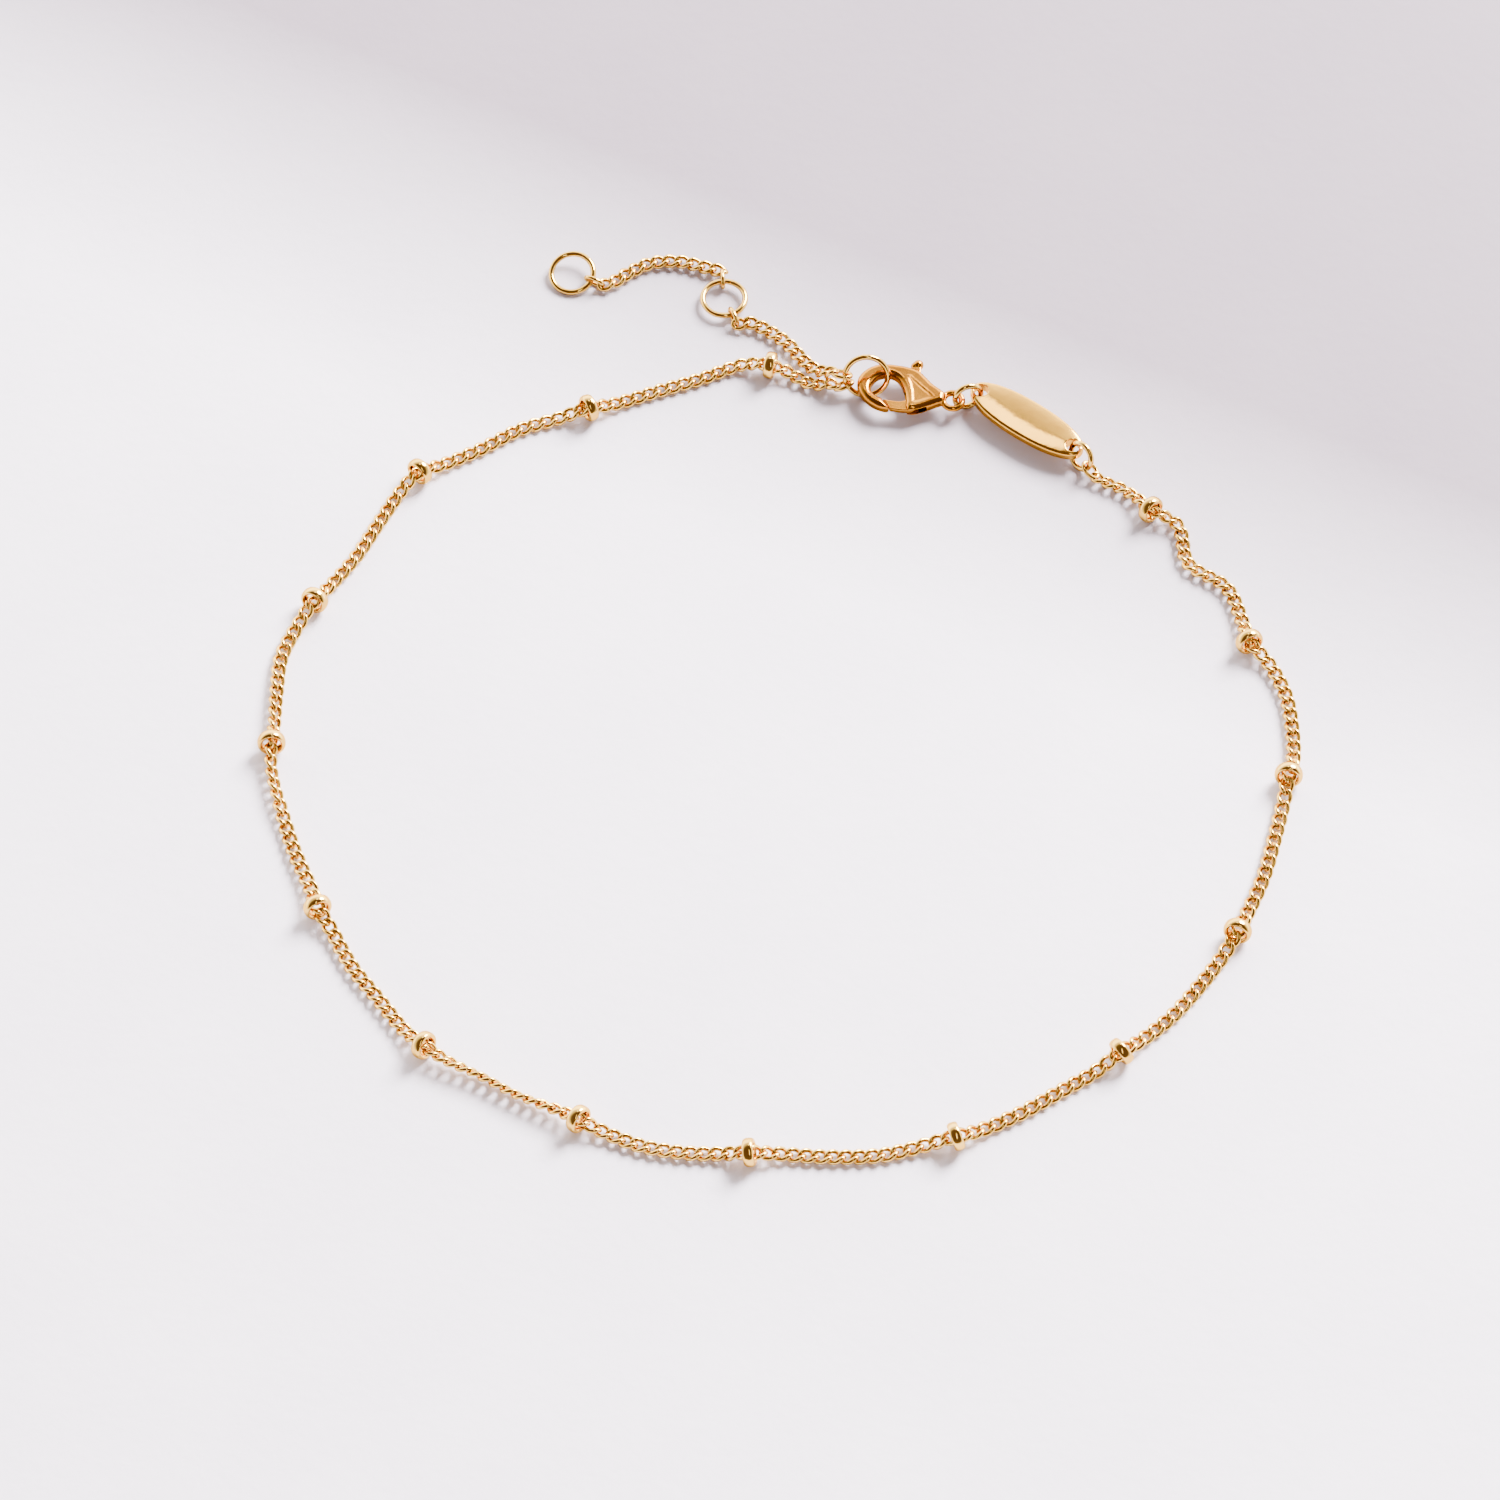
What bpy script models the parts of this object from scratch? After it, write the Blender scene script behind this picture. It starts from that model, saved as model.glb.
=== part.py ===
"""An anklet: a fine curb chain with fifteen ring beads, a lobster clasp, an oval tag, and an extender.

It lies on the ground. +Z is up, +Y points to the clasp, and the origin is on the ground under the middle of
the outline. Sizes and places are in millimetres, and each object is scaled to metres by its own mesh.
"""

import math
from collections import namedtuple

import bmesh
import bpy
from mathutils import Matrix, Vector

MM = 0.001

# Beads
BEAD_DIAMETER = 2.1
BEAD_HOLE = 1.25
BEAD_THICKNESS = 0.8
BEAD_STEPS = 14
BEAD_ROUNDNESS = 2.6
BEAD_PROFILE_POINTS = 8

# Chains
CHAIN_DIAMETER = 0.8
CHAIN_STEP = 2.0
CHAIN_REST = 0.45
CHAIN_RISE = 0.15
JOIN_GAP = 0.16
JOIN_REACH = 0.45
ROUTE_STEPS = 12
LINK_WIRE = 0.3
LINK_PITCH = 0.937
LINK_OVERLAP = 0.16
LINK_HALF_LENGTH = (LINK_PITCH + LINK_OVERLAP) / 2
LINK_HALF_WIDTH = 0.4
LINK_TWIST = math.radians(-47)
LINK_SIDES = 10
END_LINK_SCALE = 1.2
END_LINK_GAP = 0.08

# Rings
RING_WIRE = 0.44
SIZING_RING_RADIUS = 1.63
JUMP_RING_RADIUS = 1.03
RING_SIDES = 16
WIRE_SIDES = 6

# Clasp, in its own flat frame: u runs from the hook to the eye, v from the gate to the thumb piece
CLASP_PLACE = Vector((5.45, 27.2, 1.15))
CLASP_YAW = math.radians(-10)
CLASP_THICKNESS = 1.1
CLASP_EDGE = 0.2
EYE_CENTRE = (7.95, -0.05)
EYE_RADIUS = 0.72
EYE_WIRE = 0.5
PIVOT = (5.17, 0.0)
PIN_RADIUS = 0.22
PIN_HOLE = 0.3
SLOT_START, SLOT_END = 4.16, 6.1
SLOT_HEIGHT = 0.56
SLOT_DEPTH = 6.0
LEVER_THICKNESS = 0.44
LEVER_EDGE = 0.08
THUMB_BALLS = ((4.85, 2.8, 0.4), (4.6, 2.62, 0.3))
BALL_SIDES = 12
BALL_RINGS = 8

# Tag
TAG_HALF_LENGTH = 5.1
TAG_HALF_WIDTH = 1.68
TAG_ROUNDNESS = 2.2
TAG_SIDES = 32
TAG_THICKNESS = 1.0
TAG_EDGE = 0.2
TAG_YAW = math.radians(-37)
TAG_HOLE = 0.55
TAG_HOLE_OFFSET = 4.275
TAG_CENTRE = Vector((18.86, 23.88, 1.18))

HOLE_SIDES = 12
ROUGHNESS = 0.15

# One row for each bead, in the order of the chain from the hook ring round to the tag. The sways are how far
# the chain lies inside the straight line to the next bead, at the shares of it in SWAY_SHARES. Lift is how
# far a taut stretch stays off the ground. Lean turns the bead to the left on the chain, and tilt lifts its
# front.
Stretch = namedtuple("Stretch", "x y sway_1 sway_2 sway_3 sway_4 lift lean tilt")
SWAY_SHARES = (0.14, 0.38, 0.62, 0.86)
STRETCHES = (
    Stretch(-0.6, 29.2, -1.0, -0.7, -0.5, -0.2, 0.0, 0, 0),
    Stretch(-14.4, 25.2, -0.4, -0.8, -0.4, -0.2, 0.0, 12, 4),
    Stretch(-27.1, 19.3, -0.4, -0.2, 0.1, 0.0, 0.0, 12, 6),
    Stretch(-34.6, 7.6, -0.7, -1.3, -0.9, -0.3, 0.0, 7, 14),
    Stretch(-37.3, -5.0, -0.5, -0.6, -0.5, -0.1, 0.1, 4, 15),
    Stretch(-33.4, -19.1, -0.1, -0.5, -0.4, -0.3, 0.0, -2, 8),
    Stretch(-25.4, -30.6, -0.2, -0.1, -0.2, 0.0, 0.35, 4, 15),
    Stretch(-14.3, -36.6, -0.3, -0.8, -0.7, -0.2, 0.0, -13, 11),
    Stretch(-2.2, -39.3, 0.0, -0.5, -0.7, -0.2, 0.0, 0, 11),
    Stretch(12.4, -38.0, -0.2, -0.4, -0.3, -0.2, 0.0, 0, 11),
    Stretch(24.3, -31.1, -0.3, -0.7, -0.6, -0.3, 0.0, 0, 14),
    Stretch(33.0, -21.1, -0.2, -0.5, -0.4, -0.2, 0.0, 8, -12),
    Stretch(37.3, -7.8, -0.8, -1.6, -1.9, -1.0, 0.0, 2, -14),
    Stretch(34.9, 3.9, -0.7, -1.4, -0.1, -1.2, 0.0, -5, -10),
    Stretch(28.0, 15.8, 0.0, 0.0, 0.0, 0.0, 0.0, -8, -8),
)
JOIN_BEAD = 9
CHAIN_START = (
    (4.75, 27.43, 0.95), (4.25, 27.5, 0.75), (3.42, 27.69, 0.52), (2.05, 28.08, 0.47), (1.0, 28.75, 0.6),
)
CHAIN_END = ((26.9, 17.3, 0.6), (26.0, 18.1, 0.47), (24.9, 18.65, 0.47), (23.75, 19.45, 0.5))

# Rings: centre, then the two directions that span the ring's plane
Ring = namedtuple("Ring", "centre across rise radius")
LEAN = math.radians(63.5)
RINGS = {
    "hook_ring": Ring(
        (6.72, 27.7, 1.68), (1, 0, 0), (0, math.cos(LEAN), math.sin(LEAN)), SIZING_RING_RADIUS,
    ),
    "middle_ring": Ring((-4.15, 35.87, 0.6), (1, 0, 0), (0, 1, 0), SIZING_RING_RADIUS),
    "end_ring": Ring((-15.87, 38.31, 0.6), (1, 0, 0.09), (0, 1, 0.21), SIZING_RING_RADIUS),
    "tag_link": Ring((14.43, 26.135, 1.23), (0.954, 0.3, 0), (-0.05, 0.16, 0.98), JUMP_RING_RADIUS),
    "tag_ring": Ring((22.89, 20.59, 1.19), (0.65, -0.76, 0), (0.26, 0.22, 0.94), JUMP_RING_RADIUS),
}

# Extender chains. Each end link hooks a ring at an angle in the ring's plane, from its across direction
Hook = namedtuple("Hook", "ring degrees")
Extender = namedtuple("Extender", "name start route end")
EXTENDERS = (
    Extender(
        "extender_chain_inner", Hook("hook_ring", 176.5),
        (
            (3.42, 28.63, 0.95), (2.55, 29.3, 0.6), (1.83, 30.22, 0.42), (0.61, 31.79, 0.42),
            (-1.15, 33.16, 0.42), (-2.23, 33.62, 0.5),
        ),
        Hook("middle_ring", -67),
    ),
    Extender(
        "extender_chain_outer", Hook("middle_ring", 93.5),
        (
            (-5.45, 38.89, 0.48), (-7.63, 39.53, 0.42), (-9.79, 39.39, 0.42), (-11.63, 38.38, 0.42),
            (-12.6, 37.6, 0.48),
        ),
        Hook("end_ring", -25.5),
    ),
)

# Outlines in the clasp's frame
HOOK_OUTER = (
    (3.32, -1.76), (3.1, -1.82), (2.4, -1.76), (1.6, -1.38), (0.95, -0.78), (0.6, -0.15), (0.52, 0.45),
    (0.7, 1.05), (1.15, 1.65), (1.85, 2.12), (2.7, 2.3), (4.1, 2.28), (4.99, 2.08), (5.61, 1.62), (6.24, 1.06),
    (6.9, 0.66), (7.34, 0.36),
)
BODY_LOWER = ((7.34, -0.44), (6.84, -0.74), (6.24, -1.12), (5.61, -1.5), (5.08, -1.7), (4.68, -1.72))
MOUTH = (
    (4.47, -1.3), (4.41, -0.75), (4.19, 0.0), (3.83, 0.68), (3.43, 1.1), (2.95, 1.28), (2.45, 1.22), (2.05, 0.98),
    (1.74, 0.5), (1.64, 0.05), (1.74, -0.38), (2.02, -0.7), (2.62, -0.94),
)
LEVER_GATE = ((2.72, -0.92), (3.48, -0.96), (4.1, -0.9), (4.58, -0.58))
LEVER_THUMB = (
    (4.6, 0.5), (4.6, 1.2), (4.52, 2.0), (4.44, 2.6), (4.56, 2.95), (4.86, 3.05), (5.08, 2.8), (5.14, 2.2),
    (5.21, 1.4), (5.48, 0.8),
)
LEVER_BACK = ((5.72, 0.0), (5.61, -0.9), (5.26, -1.4), (4.72, -1.66), (4.1, -1.74), (3.37, -1.73))


def new_collection(name, parent, hidden=False):
    collection = bpy.data.collections.new(name)
    collection.hide_render = hidden
    parent.children.link(collection)
    return collection


def move_to(piece, collection):
    for holder in list(piece.users_collection):
        holder.objects.unlink(piece)
    collection.objects.link(piece)


def gold(name):
    """A polished yellow gold of its own for one piece."""
    material = bpy.data.materials.new(name)
    material.use_nodes = True
    shader = material.node_tree.nodes["Principled BSDF"]
    shader.inputs["Base Color"].default_value = (0.9, 0.6, 0.2, 1)
    shader.inputs["Metallic"].default_value = 1
    shader.inputs["Roughness"].default_value = ROUGHNESS
    return material


def add_object(name, data, collection):
    piece = bpy.data.objects.new(name, data)
    piece.data.materials.clear()
    piece.data.materials.append(gold(name))
    collection.objects.link(piece)
    return piece


def as_mesh(curve_object):
    """Turns a curve object into a mesh object with welded caps, in the same place."""
    bpy.context.view_layer.update()
    evaluated = curve_object.evaluated_get(bpy.context.evaluated_depsgraph_get())
    mesh = bpy.data.meshes.new_from_object(evaluated)
    name = curve_object.name
    matrix = curve_object.matrix_world.copy()
    collection = curve_object.users_collection[0]
    work = bmesh.new()
    work.from_mesh(mesh)
    bmesh.ops.remove_doubles(work, verts=work.verts, dist=1e-7)
    bmesh.ops.dissolve_limit(work, angle_limit=math.radians(0.1), verts=work.verts, edges=work.edges)
    work.to_mesh(mesh)
    work.free()
    bpy.data.objects.remove(curve_object)
    piece = bpy.data.objects.new(name, mesh)
    piece.matrix_world = matrix
    collection.objects.link(piece)
    piece.data.shade_smooth()
    piece.data.set_sharp_from_angle(angle=math.radians(40))
    return piece


def smooth_route(points, per=ROUTE_STEPS):
    """A smooth curve through the points: centripetal Catmull-Rom, with per steps between two of them."""
    points = [Vector(p) for p in points]
    padded = [2 * points[0] - points[1], *points, 2 * points[-1] - points[-2]]
    route = []
    for p0, p1, p2, p3 in zip(padded, padded[1:], padded[2:], padded[3:]):
        t1 = (p1 - p0).length ** 0.5
        t2 = t1 + (p2 - p1).length ** 0.5
        t3 = t2 + (p3 - p2).length ** 0.5
        for step in range(per):
            t = t1 + (t2 - t1) * step / per
            a1 = p0.lerp(p1, t / t1)
            a2 = p1.lerp(p2, (t - t1) / (t2 - t1))
            a3 = p2.lerp(p3, (t - t2) / (t3 - t2))
            b1 = a1.lerp(a2, t / t2)
            b2 = a2.lerp(a3, (t - t1) / (t3 - t1))
            route.append(b1.lerp(b2, (t - t1) / (t2 - t1)))
    return [*route, points[-1]]


def route_length(route):
    return sum((b - a).length for a, b in zip(route, route[1:]))


def even_points(route, count):
    """count points at even distances along the route, the ends among them."""
    step = route_length(route) / (count - 1)
    points, walked, wanted = [route[0]], 0.0, step
    for a, b in zip(route, route[1:]):
        run = (b - a).length
        while len(points) < count - 1 and walked + run >= wanted:
            points.append(a.lerp(b, (wanted - walked) / run))
            wanted += step
        walked += run
    return [*points, route[-1]]


def wire_curve(name, points, diameter, collection, closed=False, resolution=2):
    """A round wire or tube along the points."""
    curve = bpy.data.curves.new(name, "CURVE")
    curve.dimensions = "3D"
    curve.bevel_depth = diameter / 2 * MM
    curve.bevel_resolution = resolution
    curve.use_fill_caps = not closed
    spline = curve.splines.new("POLY")
    spline.points.add(len(points) - 1)
    for target, point in zip(spline.points, points):
        target.co = (*(point * MM), 1)
    spline.use_cyclic_u = closed
    return add_object(name, curve, collection)


def plate(name, outline, thickness, edge, collection):
    """A flat plate with a rounded rim, from a smooth outline."""
    curve = bpy.data.curves.new(name, "CURVE")
    curve.dimensions = "2D"
    curve.fill_mode = "BOTH"
    curve.extrude = thickness / 2 * MM
    spline = curve.splines.new("POLY")
    spline.points.add(len(outline) - 1)
    for target, (u, v) in zip(spline.points, outline):
        target.co = (u * MM, v * MM, 0, 1)
    spline.use_cyclic_u = True
    piece = as_mesh(add_object(name, curve, collection))
    rim = piece.modifiers.new("rim", "BEVEL")
    rim.width = edge * MM
    rim.segments = 2
    rim.limit_method = "ANGLE"
    rim.angle_limit = math.radians(60)
    return piece


def bent(points):
    """A flat outline's points, joined by a smooth curve with one step more between two of them."""
    return [(p.x, p.y) for p in smooth_route([(u, v, 0) for u, v in points], 2)]


def hide(helper):
    helper.hide_render = True
    helper.display_type = "WIRE"


def add_boolean(piece, operation, other):
    modifier = piece.modifiers.new(f"{operation.lower()}_{other.name}", "BOOLEAN")
    modifier.operation = operation
    modifier.solver = "EXACT"
    modifier.object = other


def join_solid(piece, name, centre, helpers):
    """Joins the primitive just made to a plate, at a place in the plate's own frame."""
    solid = bpy.context.object
    solid.name = name
    solid.matrix_world = piece.matrix_world @ Matrix.Translation(Vector((*centre, 0)) * MM)
    move_to(solid, helpers)
    hide(solid)
    add_boolean(piece, "UNION", solid)


def add_round_cut(piece, centre, radius, depth, helpers, operation="DIFFERENCE"):
    """Cuts a round hole across a plate, or joins a round pin to it, at a place in the plate's own frame."""
    bpy.ops.mesh.primitive_cylinder_add(vertices=HOLE_SIDES, radius=radius * MM, depth=depth * MM)
    round_bar = bpy.context.object
    round_bar.name = f"{piece.name}_{'hole' if operation == 'DIFFERENCE' else 'pin'}"
    round_bar.matrix_world = piece.matrix_world @ Matrix.Translation(Vector((*centre, 0)) * MM)
    move_to(round_bar, helpers)
    hide(round_bar)
    add_boolean(piece, operation, round_bar)


def rest_height(tilt):
    """How high the middle of a bead is that leans back by the tilt, in degrees, and touches the ground."""
    turn = math.radians(abs(tilt))
    return max(p.x * math.cos(turn) + p.z * math.sin(turn) for p in bead_profile())


def bead_place(row):
    return Vector((row.x, row.y, rest_height(row.tilt)))


def chain_points():
    """The main chain's route as (points of each stretch), from the hook ring to the tag ring."""
    through = [Vector(p) for p in CHAIN_START]
    bead_at = []
    for row, following in zip(STRETCHES, STRETCHES[1:]):
        bead = bead_place(row)
        run = bead_place(following) - bead
        inward = Vector((-run.y, run.x, 0)).normalized()
        bead_at.append(len(through))
        through.append(bead)
        for share, sway in zip(SWAY_SHARES, row[2:6]):
            height = CHAIN_REST + row.lift + (CHAIN_RISE if share in (SWAY_SHARES[0], SWAY_SHARES[-1]) else 0)
            place = bead + run * share + inward * sway
            through.append(Vector((place.x, place.y, height)))
    bead_at.append(len(through))
    through.append(bead_place(STRETCHES[-1]))
    through += [Vector(p) for p in CHAIN_END]
    route = smooth_route(through)
    cuts = [0, *(index * ROUTE_STEPS for index in bead_at), len(route) - 1]
    return [route[start:end + 1] for start, end in zip(cuts, cuts[1:])]


def build_main_chain(stretches, collection):
    """Two tubes whose level ends meet in the hole of the join bead, with a small gap."""
    halves = {"main_chain_left": stretches[:JOIN_BEAD], "main_chain_right": stretches[JOIN_BEAD:]}
    for name, own in halves.items():
        points = [own[0][0]]
        for stretch in own:
            points += even_points(stretch, round(route_length(stretch) / CHAIN_STEP) + 1)[1:]
        if name == "main_chain_right":
            points.reverse()
        join = points.pop()
        back = points[-1] - join
        back.z = 0
        back.normalize()
        points += [join + back * JOIN_REACH, join + back * JOIN_GAP / 2]
        wire_curve(name, points, CHAIN_DIAMETER, collection)


def bead_profile():
    """The ring's cross-section, outer side first and from top to bottom."""
    middle = (BEAD_DIAMETER + BEAD_HOLE) / 4
    half_width = (BEAD_DIAMETER - BEAD_HOLE) / 4
    half_height = BEAD_THICKNESS / 2
    points = []
    for step in range(BEAD_PROFILE_POINTS):
        angle = math.pi / 2 - 2 * math.pi * step / BEAD_PROFILE_POINTS
        c, s = math.cos(angle), math.sin(angle)
        power = 2 / BEAD_ROUNDNESS
        x = middle + half_width * math.copysign(abs(c) ** power, c)
        z = half_height * math.copysign(abs(s) ** power, s)
        points.append(Vector((x, 0, z)))
    return points


def build_beads(stretches, collection):
    points = bead_profile()
    mesh = bpy.data.meshes.new("bead_profile")
    count = len(points)
    mesh.from_pydata([p * MM for p in points], [(i, (i + 1) % count) for i in range(count)], [])
    mesh.materials.append(gold("bead"))
    for number, (row, before, after) in enumerate(zip(STRETCHES, stretches, stretches[1:]), start=1):
        heading = after[1] - before[-2]
        heading.z = 0
        level = Vector((-heading.y, heading.x, 0)).normalized()
        turned = Matrix.Rotation(math.radians(row.lean), 3, "Z")
        lifted = Matrix.Rotation(math.radians(-row.tilt), 3, turned @ level)
        along = lifted @ turned @ heading.normalized()
        side = turned @ level
        bead = bpy.data.objects.new(f"bead_{number:02d}", mesh)
        frame = Matrix((side.cross(along), side, along)).transposed().to_4x4()
        bead.matrix_world = Matrix.Translation(bead_place(row) * MM) @ frame
        collection.objects.link(bead)
        screw = bead.modifiers.new("turned", "SCREW")
        screw.steps = screw.render_steps = BEAD_STEPS
        screw.use_merge_vertices = False
        screw.use_smooth_shade = True


def curb_link(twist):
    """The centre line of one link along +X: an oval whose ends are turned apart by twice the twist."""
    points = []
    for step in range(LINK_SIDES):
        angle = 2 * math.pi * step / LINK_SIDES
        x = math.cos(angle)
        turn = twist * x
        across = LINK_HALF_WIDTH * math.sin(angle)
        points.append(Vector((LINK_HALF_LENGTH * x, across * math.cos(turn), across * math.sin(turn))))
    return points


def frame_of(along, level):
    """Rotation whose X is along and whose Y is the direction level, squared up to X."""
    along = along.normalized()
    level = (level - along * level.dot(along)).normalized()
    return Matrix((along, level, along.cross(level))).transposed()


def ring_frame(ring):
    return frame_of(Vector(ring.across), Vector(ring.rise))


def hook_link(hook, away):
    """Centre, rotation and outer end of the link round a ring's wire, for a chain leaving in a direction."""
    ring = RINGS[hook.ring]
    frame = ring_frame(ring)
    angle = math.radians(hook.degrees)
    outward = frame @ Vector((math.cos(angle), math.sin(angle), 0))
    wire_direction = frame @ Vector((-math.sin(angle), math.cos(angle), 0))
    along = (away - wire_direction * away.dot(wire_direction)).normalized()
    half_length = LINK_HALF_LENGTH * END_LINK_SCALE
    reach = half_length - (RING_WIRE + LINK_WIRE) / 2 - END_LINK_GAP
    wire = Vector(ring.centre) + outward * ring.radius
    centre = wire + along * reach
    return centre, frame_of(along, along.cross(wire_direction)), centre + along * half_length


def build_link_chain(extender, collection, helpers):
    """A chain of real links fused into one body, with a larger plain link round the ring at each end."""
    via = [Vector(p) for p in extender.route]
    placed = []
    ends = []
    for hook, nearest in ((extender.start, via[0]), (extender.end, via[-1])):
        centre, frame, end = hook_link(hook, nearest - Vector(RINGS[hook.ring].centre))
        placed.append((centre, frame, END_LINK_SCALE, 0))
        ends.append(end)
    route = smooth_route([ends[0], *via, ends[1]])
    length = route_length(route) + LINK_OVERLAP
    count = round(length / LINK_PITCH)
    centres = even_points(route, 2 * count + 1)[1::2]
    for index, centre in enumerate(centres):
        before = centres[index - 1] if index else ends[0]
        after = centres[index + 1] if index < count - 1 else ends[1]
        frame = frame_of(after - before, Vector((0, 0, 1)).cross(after - before))
        placed.append((centre, frame, 1, LINK_TWIST))
    operands = new_collection(f"{extender.name}_links", helpers, hidden=True)
    base = None
    for index, (centre, frame, scale, twist) in enumerate(placed):
        points = [centre + frame @ (p * scale) for p in curb_link(twist)]
        target = operands if base else collection
        link_name = f"{extender.name}_link_{index:02d}" if base else extender.name
        link = as_mesh(wire_curve(link_name, points, LINK_WIRE, target, closed=True, resolution=1))
        if base:
            hide(link)
            add_boolean(base, "UNION", link)
        base = base or link


def build_rings(collection):
    for name, ring in RINGS.items():
        bpy.ops.mesh.primitive_torus_add(
            major_radius=ring.radius * MM, minor_radius=RING_WIRE / 2 * MM,
            major_segments=RING_SIDES, minor_segments=WIRE_SIDES,
        )
        torus = bpy.context.object
        torus.name = name
        torus.matrix_world = Matrix.Translation(Vector(ring.centre) * MM) @ ring_frame(ring).to_4x4()
        torus.data.materials.append(gold(name))
        torus.data.shade_smooth()
        move_to(torus, collection)


def clasp_matrix():
    return Matrix.Translation(CLASP_PLACE * MM) @ Matrix.Rotation(CLASP_YAW, 4, "Z")


def build_clasp_body(collection, helpers):
    rim = bent(HOOK_OUTER) + bent(BODY_LOWER) + bent(MOUTH)
    body = plate("clasp_body", rim, CLASP_THICKNESS, CLASP_EDGE, collection)
    body.matrix_world = clasp_matrix()
    bpy.ops.mesh.primitive_torus_add(
        major_radius=EYE_RADIUS * MM, minor_radius=EYE_WIRE / 2 * MM,
        major_segments=RING_SIDES, minor_segments=WIRE_SIDES,
    )
    join_solid(body, "clasp_eye", EYE_CENTRE, helpers)

    bpy.ops.mesh.primitive_cube_add(size=1)
    slot = bpy.context.object
    slot.name = "clasp_slot"
    size = Vector((SLOT_END - SLOT_START, SLOT_DEPTH, SLOT_HEIGHT)) * MM
    middle = Matrix.Translation(Vector(((SLOT_START + SLOT_END) / 2, 0, 0)) * MM)
    slot.matrix_world = clasp_matrix() @ middle @ Matrix.Diagonal(size).to_4x4()
    move_to(slot, helpers)
    hide(slot)
    add_boolean(body, "DIFFERENCE", slot)
    add_round_cut(body, PIVOT, PIN_RADIUS, CLASP_THICKNESS - CLASP_EDGE, helpers, "UNION")


def build_clasp_lever(collection, helpers):
    """The spring lever, with its origin on the pin: a gate that closes the hook, and a round thumb piece."""
    local = [(u - PIVOT[0], v - PIVOT[1]) for u, v in LEVER_GATE + LEVER_THUMB + LEVER_BACK]
    lever = plate("clasp_lever", local, LEVER_THICKNESS, LEVER_EDGE, collection)
    lever.matrix_world = clasp_matrix() @ Matrix.Translation(Vector((*PIVOT, 0)) * MM)
    add_round_cut(lever, (0, 0), PIN_HOLE, 2 * LEVER_THICKNESS, helpers)
    for number, (u, v, radius) in enumerate(THUMB_BALLS):
        bpy.ops.mesh.primitive_uv_sphere_add(
            segments=BALL_SIDES, ring_count=BALL_RINGS, radius=radius * MM,
        )
        join_solid(lever, f"thumb_ball_{number}", (u - PIVOT[0], v - PIVOT[1]), helpers)


def build_tag(collection, helpers):
    rim = []
    for step in range(TAG_SIDES):
        angle = 2 * math.pi * step / TAG_SIDES
        c, s = math.cos(angle), math.sin(angle)
        power = 2 / TAG_ROUNDNESS
        rim.append((
            TAG_HALF_LENGTH * math.copysign(abs(c) ** power, c),
            TAG_HALF_WIDTH * math.copysign(abs(s) ** power, s),
        ))
    tag = plate("tag", rim, TAG_THICKNESS, TAG_EDGE, collection)
    tag.matrix_world = Matrix.Translation(TAG_CENTRE * MM) @ Matrix.Rotation(TAG_YAW, 4, "Z")
    for side in (-1, 1):
        add_round_cut(tag, (side * TAG_HOLE_OFFSET, 0), TAG_HOLE, 2 * TAG_THICKNESS, helpers)


def main():
    for old in list(bpy.data.objects):
        bpy.data.objects.remove(old)
    scene = bpy.context.scene.collection
    anklet = new_collection("anklet", scene)
    helpers = new_collection("cutters", scene, hidden=True)
    stretches = chain_points()
    build_main_chain(stretches, anklet)
    build_beads(stretches, anklet)
    build_rings(anklet)
    for extender in EXTENDERS:
        build_link_chain(extender, anklet, helpers)
    build_clasp_body(anklet, helpers)
    build_clasp_lever(anklet, helpers)
    build_tag(anklet, helpers)


main()
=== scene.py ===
"""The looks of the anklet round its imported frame: interlocking links, cast clasp, beads, rings and tag.

Sizes and places are in millimetres in the frame's axes, and each mesh is scaled to metres as it is made.
"""

import math
from collections import namedtuple

import bmesh
import bpy
import numpy as np
from mathutils import Matrix, Vector


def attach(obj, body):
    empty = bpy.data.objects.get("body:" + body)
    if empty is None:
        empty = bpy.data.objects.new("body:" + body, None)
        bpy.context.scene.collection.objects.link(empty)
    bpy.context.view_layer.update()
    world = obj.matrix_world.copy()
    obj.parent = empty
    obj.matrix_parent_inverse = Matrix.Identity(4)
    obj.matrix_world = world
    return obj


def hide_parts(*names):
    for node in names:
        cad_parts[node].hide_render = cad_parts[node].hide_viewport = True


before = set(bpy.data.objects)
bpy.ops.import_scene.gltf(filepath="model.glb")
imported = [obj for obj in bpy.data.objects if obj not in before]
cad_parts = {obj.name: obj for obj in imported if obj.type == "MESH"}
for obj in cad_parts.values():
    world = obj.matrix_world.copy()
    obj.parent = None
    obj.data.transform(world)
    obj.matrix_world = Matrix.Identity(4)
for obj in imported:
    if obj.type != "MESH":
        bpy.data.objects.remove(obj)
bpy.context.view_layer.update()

MM = 0.001

# Camera
CAMERA_TARGET = Vector((-2.15, -5.0, 0.0))
CAMERA_DISTANCE = 460.0
CAMERA_DOWN = math.radians(57.5)
CAMERA_LENS = 100.0
CAMERA_SENSOR = 24.0
CAMERA_CLIP = (0.01, 10)  # in metres
CAMERA_SIDE = Vector((0, -math.cos(CAMERA_DOWN), math.sin(CAMERA_DOWN)))

# Beads
BEAD_DIAMETER = 2.1
BEAD_HOLE = 1.25
BEAD_THICKNESS = 0.8
BEAD_MIDDLE = (BEAD_DIAMETER + BEAD_HOLE) / 4
BEAD_HALF_WIDTH = (BEAD_DIAMETER - BEAD_HOLE) / 4
BEAD_ROUNDNESS = 2.3
BEAD_PROFILE_POINTS = 24
BEAD_STEPS = 56

# Links
LINK_WIRE = 0.34
LINK_PITCH = 0.937
LINK_PLAY = 0.015
LINK_OVERLAP = LINK_WIRE + LINK_PLAY
LINK_HALF_WIDTH = 0.43
LINK_TWIST = math.radians(-52)
LINK_STEPS = 26
LINK_SIDES = 10
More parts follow.
